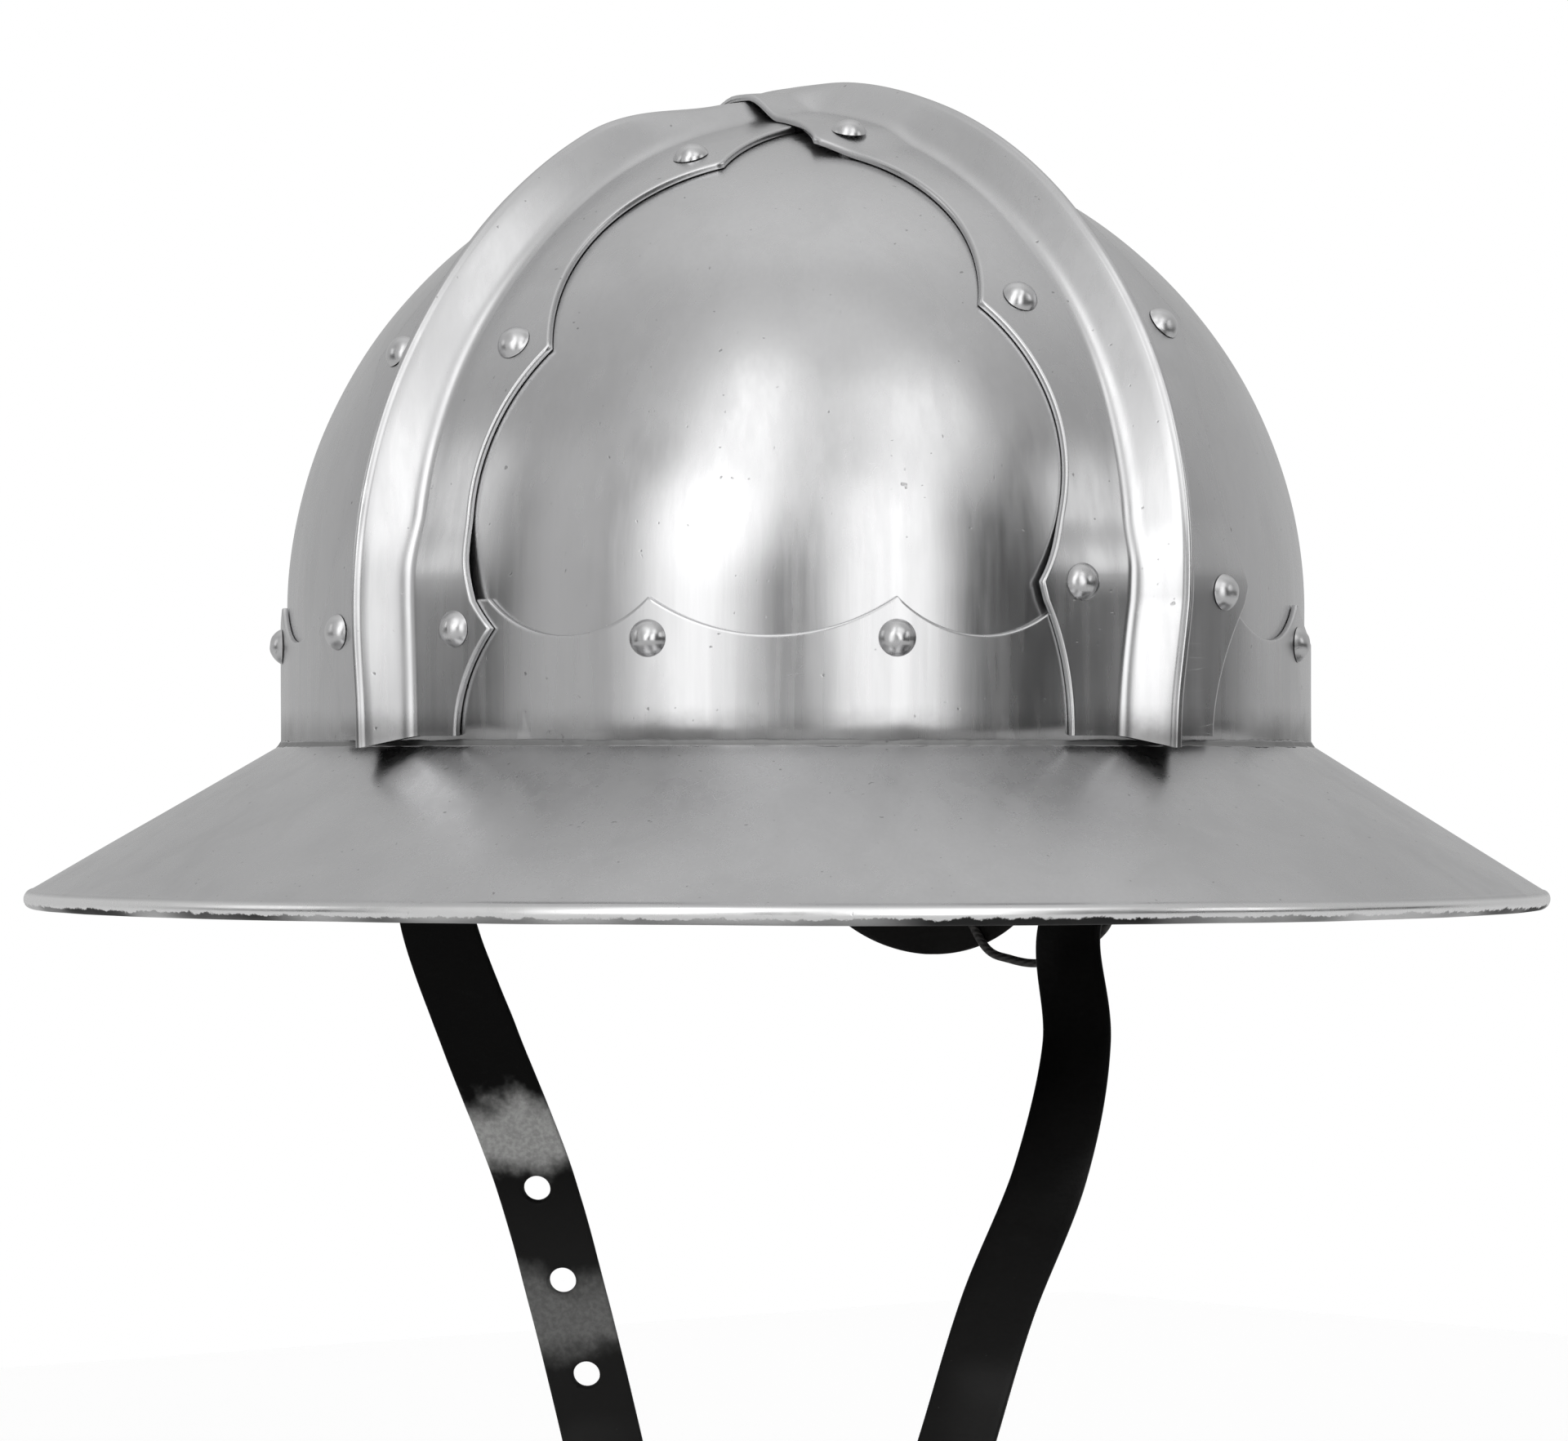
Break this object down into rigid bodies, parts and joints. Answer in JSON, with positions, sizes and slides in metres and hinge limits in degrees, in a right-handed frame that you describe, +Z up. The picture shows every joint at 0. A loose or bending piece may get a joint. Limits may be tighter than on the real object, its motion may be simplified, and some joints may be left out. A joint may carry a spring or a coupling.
{
  "type": "kettle hat",
  "caption": "Riveted steel kettle hat with a sloping round brim, scalloped keeled cross bands, a laced leather liner and a chin strap with a buckle.",
  "frame": {"origin": "centre of the head opening, in the plane where the brim joins the skull", "axes": "+Z up through the crown, -Y to the front of the hat, +X to the wearer's left"},
  "size_m": [0.3464, 0.363, 0.4083],
  "materials": {
    "panel_steel": "satin, fine worn grain",
    "band_steel": "satin, bright bevelled edges",
    "brim_steel": "satin, duller than the skull",
    "weld_steel": "rough dressed weld",
    "rivet_steel": "hammered and polished heads",
    "liner_leather": "matt black",
    "lace": "black, waxed",
    "strap_leather": "black, half gloss",
    "buckle_steel": "bright wire"
  },
  "bodies": {
    "hat": {"panel_front_right": "panel_steel", "panel_front_left": "panel_steel", "panel_back_right": "panel_steel", "panel_back_left": "panel_steel", "brow_band": "band_steel", "side_band": "band_steel", "front_back_band": "band_steel", "brim": "brim_steel", "weld_bead": "weld_steel", "front_back_rivets": "rivet_steel", "side_rivets": "rivet_steel", "brow_rivets": "rivet_steel", "liner_band": "liner_leather", "liner_tongues": "liner_leather", "crown_lace": "lace", "lace_loop": "lace", "liner_tab": "liner_leather", "strap_pin_right": "rivet_steel", "strap_pin_left": "rivet_steel", "strap_washer_right": "rivet_steel", "strap_washer_left": "rivet_steel"},
    "strap_with_holes": {"strap_right": "strap_leather"},
    "strap_with_buckle": {"strap_left": "strap_leather", "buckle_rivet": "buckle_steel"},
    "buckle": {"buckle_frame": "buckle_steel"},
    "prong": {"buckle_prong": "buckle_steel"},
    "keeper": {"keeper_loop": "strap_leather"}
  },
  "joints": [
    {"name": "right_strap_swing", "type": "hinge", "parent": "hat", "child": "strap_with_holes", "pos_m": [-0.10955, -0.0015, 0.013], "axis": [1, 0, 0], "range_deg": [-22, 22]},
    {"name": "left_strap_swing", "type": "hinge", "parent": "hat", "child": "strap_with_buckle", "pos_m": [0.10955, -0.0015, 0.013], "axis": [1, 0, 0], "range_deg": [-22, 22]},
    {"name": "buckle_turn", "type": "hinge", "parent": "strap_with_buckle", "child": "buckle", "pos_m": [0.02313, -0.00207, -0.22622], "axis": [0.6598, -0.6986, -0.2767], "range_deg": [-40, 30]},
    {"name": "prong_turn", "type": "hinge", "parent": "buckle", "child": "prong", "pos_m": [0.02313, -0.00207, -0.22622], "axis": [0.6598, -0.6986, -0.2767], "range_deg": [0, 80]},
    {"name": "keeper_slide", "type": "slide", "parent": "strap_with_buckle", "child": "keeper", "axis": [-0.3867, 0, -0.9222], "range_m": [-0.007, 0.007]}
  ]
}
